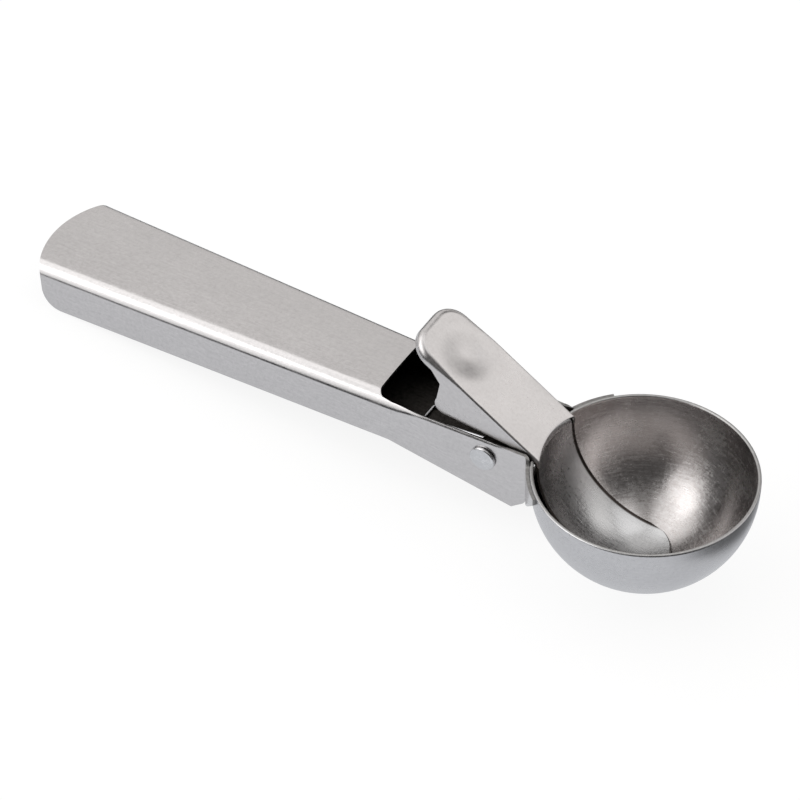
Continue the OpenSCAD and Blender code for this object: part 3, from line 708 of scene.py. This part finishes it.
def brushed_steel(name, dark, light, rough, stretch, mapped=True, rim=None, scratched=0.3, streaks=0.45,
                  turned=0.0):
    """Satin stainless sheet: short streaks along the grain, fine mottle, soft clouds, specks and scratches.

    The grain follows the piece's own grain map in metres, or the solid itself where it has no map. A rim
    colour paints shade on the open border, for the shadow in the gap under it, a quarter as strong on the
    near side of the part. Where the sheet was turned on a lathe, its highlights are drawn out across the
    turning marks.
    """
    material = bpy.data.materials.new(name)
    material.use_nodes = True
    nt = material.node_tree
    shader = nt.nodes["Principled BSDF"]
    shader.inputs["Metallic"].default_value = 1.0
    coords = nt.nodes.new("ShaderNodeTexCoord").outputs["Object"]
    lay = coords
    if mapped:
        grain_map = nt.nodes.new("ShaderNodeUVMap")
        grain_map.uv_map = "grain"
        lay = grain_map.outputs["UV"]
    lines = grain(nt, lay, stretch)
    mottle = grain(nt, coords, (MOTTLE,) * 3, detail=3.0, roughness=0.7)
    clouds = grain(nt, coords, CLOUDS)
    specks = ramp(nt, grain(nt, coords, (SPECKS,) * 3, detail=2.0), SPECK_FROM, SPECK_TO)
    fine = sum_of(nt, mottle, lines, streaks)
    tone = ramp(nt, sum_of(nt, fine, clouds, CLOUD_SHARE), *noise_ends(TONE_ENDS, streaks + CLOUD_SHARE))
    colour = blend(nt, tone, dark, light)
    colour = blend(nt, ramp(nt, specks, 0, 1, 0, SPECK_SHARE), colour, [0.6 * c for c in dark])
    marks = [ramp(nt, grain(nt, lay, size, turn, detail=1.5), low, high)
             for size, turn, low, high in SCRATCHES]
    scratches = sum_of(nt, *marks, 1.0)
    colour = blend(nt, ramp(nt, scratches, 0, 1, 0, scratched), colour, [min(1, 1.25 * c) for c in light])
    # painted shade: the open border darkens to the rim colour, fully on the far side, a quarter on the near
    # side
    if rim:
        border = nt.nodes.new("ShaderNodeAttribute")
        border.attribute_name = "rim"
        sides = nt.nodes.new("ShaderNodeSeparateXYZ")
        nt.links.new(coords, sides.inputs[0])
        painted_edge_shade = product(nt, ramp(nt, border.outputs["Fac"], 0.1, 0.4),
                         ramp(nt, sides.outputs["Y"], 0.0, 0.003, 0.25, 1.0))
        colour = blend(nt, painted_edge_shade, colour, rim)
    nt.links.new(colour, shader.inputs["Base Color"])
    shine = ramp(nt, sum_of(nt, clouds, fine, 0.5), *noise_ends(SHINE_ENDS, 1 + streaks), *rough)
    nt.links.new(shine, shader.inputs["Roughness"])
    relief = nt.nodes.new("ShaderNodeBump")
    relief.inputs["Strength"].default_value = BRUSH_SHARE
    relief.inputs["Distance"].default_value = BRUSH_HEIGHT
    nt.links.new(sum_of(nt, fine, scratches, SCRATCH_CUT), relief.inputs["Height"])
    nt.links.new(relief.outputs[0], shader.inputs["Normal"])
    if turned:
        along = nt.nodes.new("ShaderNodeTangent")
        along.direction_type = "UV_MAP"
        along.uv_map = "grain"
        nt.links.new(along.outputs[0], shader.inputs["Tangent"])
        shader.inputs["Anisotropic"].default_value = turned
        shader.inputs["Anisotropic Rotation"].default_value = 0.25
    return material


# for each finish: darker and lighter colour, range of roughness, stretch of the grain, and what else differs
# near-black painted shade for the insides of the handle and thumb plate and for the plate under the channel,
# where only shade reaches
INSIDE_SHADE = ((0.02, 0.018, 0.016), (0.07, 0.064, 0.06), (0.5, 0.65))
FINISHES = (
    ("handle_steel", (0.545, 0.53, 0.53), (0.64, 0.622, 0.622), (0.18, 0.27), (200, 2300, 1),
     {"streaks": 0.7}),
    ("bowl_steel", (0.51, 0.505, 0.515), (0.61, 0.605, 0.615), (0.24, 0.34), (240, 1900, 1), {}),
    ("bowl_inner", (0.41, 0.38, 0.37), (0.61, 0.59, 0.585), (0.2, 0.31), (170, 1900, 1),
     {"scratched": 0.9, "streaks": 0.9, "turned": 0.7}),
    ("thumb_steel", (0.55, 0.532, 0.53), (0.67, 0.652, 0.65), (0.26, 0.36), (300, 1300, 1), {"streaks": 0.3}),
    # the blade's rim colour is a painted shade along its free edges, for the shadow in the gap against the
    # bowl
    ("blade_steel", (0.47, 0.47, 0.475), (0.59, 0.59, 0.595), (0.2, 0.32), (180, 2100, 1),
     {"rim": (0.04, 0.033, 0.03), "scratched": 0.5, "streaks": 1.0}),
    # painted shade: the blade's face towards the bowl is near-black, for the shade in the narrow gap, so the
    # bowl reflects it dark
    ("shaded_blade_back", (0.05, 0.045, 0.04), (0.12, 0.11, 0.1), (0.4, 0.55), (180, 1700, 1), {}),
    # painted shade: the blade's cut edges are dark, for the shadow along its edge against the bowl
    ("shaded_blade_edge", (0.06, 0.052, 0.048), (0.16, 0.15, 0.14), (0.3, 0.4), (700, 700, 1), {}),
    ("rivet_steel", (0.55, 0.55, 0.56), (0.68, 0.68, 0.69), (0.2, 0.3), (700, 700, 1), {}),
    # painted shade: the cut edges of the handle and thumb plate are darker than the steel, for the shade
    # along the flange tops and ear edges
    ("shaded_edge_steel", (0.2, 0.195, 0.19), (0.34, 0.335, 0.33), (0.3, 0.42), (700, 700, 1), {}),
    ("rim_steel", (0.37, 0.365, 0.36), (0.5, 0.495, 0.49), (0.32, 0.42), (700, 700, 1), {}),
    ("shaded_inner_steel", *INSIDE_SHADE, (200, 900, 1), {}),
    # the plate under the channel gets the same near-black painted shade
    ("plate_steel", *INSIDE_SHADE, (60, 1800, 1800), {"mapped": False}),
    ("washer_steel", (0.45, 0.45, 0.45), (0.55, 0.55, 0.55), (0.25, 0.35), (900, 900, 900),
     {"mapped": False}),
    ("spring_steel", (0.5, 0.5, 0.52), (0.62, 0.62, 0.64), (0.15, 0.28), (900, 900, 900), {"mapped": False}),
)
finish = {look[0]: brushed_steel(*look[:-1], **look[-1]) for look in FINISHES}
for name in ("underside_plate", "spacer_washers"):
    nodes[name].material_slots[0].material = finish[slot_of[name]]

handle_channel()
bowl()
thumb_plate()
ejector_blade()
pivot_rivet()
torsion_spring()


# ---------------------------------------------------------------- studio, in metres

# lit table top, as the metal sees it: half widths behind and in front, where one gives way to the other,
# how far out it has faded to the surround, and the brightness of both
TABLE_REAR, TABLE_FRONT, TABLE_CHANGE, TABLE_FADE = 0.054, 0.11, (-0.02, 0.015), 1.35
TABLE_LIGHT, SURROUND_LIGHT = 0.9, 0.06
# fade past the bowl, along a line that slants across the part, and the painted shadow of the part: a dimmer
# strip right under it
BOWL_FADE, FADE_SLANT, FADE_LIGHT = (0.11, 0.128), 0.4, 0.15
UNDER_FADE, UNDER_LIGHT = (0.015, 0.045), 0.9
# plain white for the camera: its brightness, and how much of it covers the floor's own shading
WHITE_LIGHT, WHITE_SHARE = 1.1, 0.8
FLOOR_REACH, FLOOR_GAP = 3.0, 0.0002

WORLD_LIGHT = 0.77
LAMP_REACH = 1.3
LENS, SENSOR = 100.16, 36


def floor_finish():
    """Pale floor that the camera sees as nearly white, with the shadow kept as a soft grey.

    Seen in the metal it falls off to a dark surround away from the part and past the bowl, as a lit table
    top does. From below it is clear, so that the underside can be looked at.
    """
    material = bpy.data.materials.new("floor_white")
    material.use_nodes = True
    nt = material.node_tree
    shader = nt.nodes["Principled BSDF"]
    shader.inputs["Base Color"].default_value = (0.85, 0.85, 0.85, 1)
    shader.inputs["Roughness"].default_value = 0.9
    shader.inputs["Specular IOR Level"].default_value = 0.0
    paths = nt.nodes.new("ShaderNodeLightPath").outputs
    coords = nt.nodes.new("ShaderNodeTexCoord").outputs["Object"]
    place = nt.nodes.new("ShaderNodeSeparateXYZ")
    nt.links.new(coords, place.inputs[0])
    x, y = place.outputs["X"], place.outputs["Y"]
    across = maths(nt, "ABSOLUTE", y)
    share = product(nt, across, ramp(nt, x, *TABLE_CHANGE, 1 / TABLE_REAR, 1 / TABLE_FRONT))
    top_light = product(nt, ramp(nt, share, 1.0, TABLE_FADE, TABLE_LIGHT, SURROUND_LIGHT),
                        ramp(nt, sum_of(nt, x, y, FADE_SLANT), *BOWL_FADE, 1.0, FADE_LIGHT))
    # painted shadow: the glow dims in a strip right under the part
    top_light = product(nt, top_light, ramp(nt, across, *UNDER_FADE, UNDER_LIGHT, 1.0))
    glow = nt.nodes.new("ShaderNodeEmission")
    glow.inputs["Color"].default_value = (0.95, 0.97, 1.0, 1)
    nt.links.new(top_light, glow.inputs["Strength"])
    white = nt.nodes.new("ShaderNodeEmission")
    white.inputs["Strength"].default_value = WHITE_LIGHT
    seen = maths(nt, "MAXIMUM", paths["Is Camera Ray"], paths["Is Transmission Ray"])
    plain = mix_shader(nt, ramp(nt, seen, 0, 1, 0, WHITE_SHARE), shader.outputs[0], white.outputs[0])
    metal_sees = mix_shader(nt, paths["Is Glossy Ray"], plain, glow.outputs[0])
    clear = nt.nodes.new("ShaderNodeBsdfTransparent")
    below = nt.nodes.new("ShaderNodeNewGeometry").outputs["Backfacing"]
    surface = mix_shader(nt, below, metal_sees, clear.outputs[0])
    nt.links.new(surface, nt.nodes["Material Output"].inputs["Surface"])
    return material


def flat_card(name, corners, material):
    """Four-cornered card from its corner points."""
    mesh = bpy.data.meshes.new(name)
    mesh.from_pydata(corners, [], [(0, 1, 2, 3)])
    card = bpy.data.objects.new(name, mesh)
    bpy.context.scene.collection.objects.link(card)
    card.data.materials.append(material)
    return card


def direction(azimuth, height):
    """Unit vector: azimuth in degrees from +Y towards +X, height in degrees above the floor."""
    a, h = math.radians(azimuth), math.radians(height)
    return np.array([math.sin(a) * math.cos(h), math.cos(a) * math.cos(h), math.sin(h)])


def soft_box(name, place, size, glow, colour):
    """Rectangular lamp at place, facing the part, as bright as glow times white, unseen by the camera."""
    lamp = bpy.data.lights.new(name, "AREA")
    lamp.shape = "RECTANGLE"
    lamp.size, lamp.size_y = size
    lamp.energy = glow * math.pi * size[0] * size[1]
    lamp.color = colour
    box = bpy.data.objects.new(name, lamp)
    bpy.context.scene.collection.objects.link(box)
    back = place / np.linalg.norm(place)
    across = np.cross((0, 0, 1), back)
    across = across / np.linalg.norm(across)
    up = np.cross(back, across)
    turn = np.eye(4)
    turn[:3, 0], turn[:3, 1], turn[:3, 2], turn[:3, 3] = across, up, back, place
    box.matrix_world = Matrix(turn.tolist())
    box.visible_camera = False


def surround():
    """Studio air: even all round and a little brighter at the back left, but for a dark front right.

    Two low patches, behind and in front, are dim as well.
    """
    world = bpy.data.worlds.new("studio")
    bpy.context.scene.world = world
    world.use_nodes = True
    nt = world.node_tree
    coords = nt.nodes.new("ShaderNodeTexCoord").outputs["Generated"]

    def patch(azimuth, height, low, high, light):
        """Brightness of 1 away from a direction, going over to the given light close to it."""
        dot = nt.nodes.new("ShaderNodeVectorMath")
        dot.operation = "DOT_PRODUCT"
        nt.links.new(coords, dot.inputs[0])
        dot.inputs[1].default_value = direction(azimuth, height)
        return ramp(nt, dot.outputs["Value"], low, high, 1.0, light)

    front_right = patch(140, 25, 0.1, 0.8, 0.12)
    back_low = patch(4, 38, 0.93, 0.985, 0.2)
    front_low = patch(-158, 0, 0.84, 0.97, 0.08)
    back_left = patch(-42, 38, 0.8, 0.98, 1.1)
    share = product(nt, product(nt, front_right, back_left), product(nt, back_low, front_low))
    back = nt.nodes["Background"]
    back.inputs["Color"].default_value = (1.0, 0.985, 0.97, 1)
    nt.links.new(ramp(nt, share, 0, 2, 0, 2 * WORLD_LIGHT), back.inputs["Strength"])


floor = flat_card("floor", [(-FLOOR_REACH, -FLOOR_REACH, 0), (FLOOR_REACH, -FLOOR_REACH, 0),
                            (FLOOR_REACH, FLOOR_REACH, 0), (-FLOOR_REACH, FLOOR_REACH, 0)], floor_finish())
floor.location.z = -FLOOR_GAP

for name, azimuth, height, size, glow, colour in (
        ("box_left", -112, 50, (1.35, 1.15), 0.78, (1, 1, 1)),
        ("box_front_left", -138, 26, (1.1, 1.15), 1.2, (1, 1, 1)),
        ("box_back_right", 54, 48, (1.4, 0.65), 0.58, (1.0, 0.98, 0.96)),
        ("box_above", 40, 80, (0.9, 0.6), 0.75, (1, 1, 1))):
    soft_box(name, LAMP_REACH * direction(azimuth, height), size, glow, colour)

surround()

camera = bpy.data.objects.new("camera", bpy.data.cameras.new("camera"))
bpy.context.scene.collection.objects.link(camera)
camera.data.sensor_width = SENSOR
camera.data.lens = LENS
camera.data.clip_start = 0.01
camera.matrix_world = Matrix((
    (0.85401, -0.43381, 0.2872, 0.15781),
    (0.51106, 0.59610, -0.6193, -0.32817),
    (0.09744, 0.67565, 0.7308, 0.39889),
    (0, 0, 0, 1)))
bpy.context.scene.camera = camera
bpy.context.scene.view_settings.view_transform = "Standard"
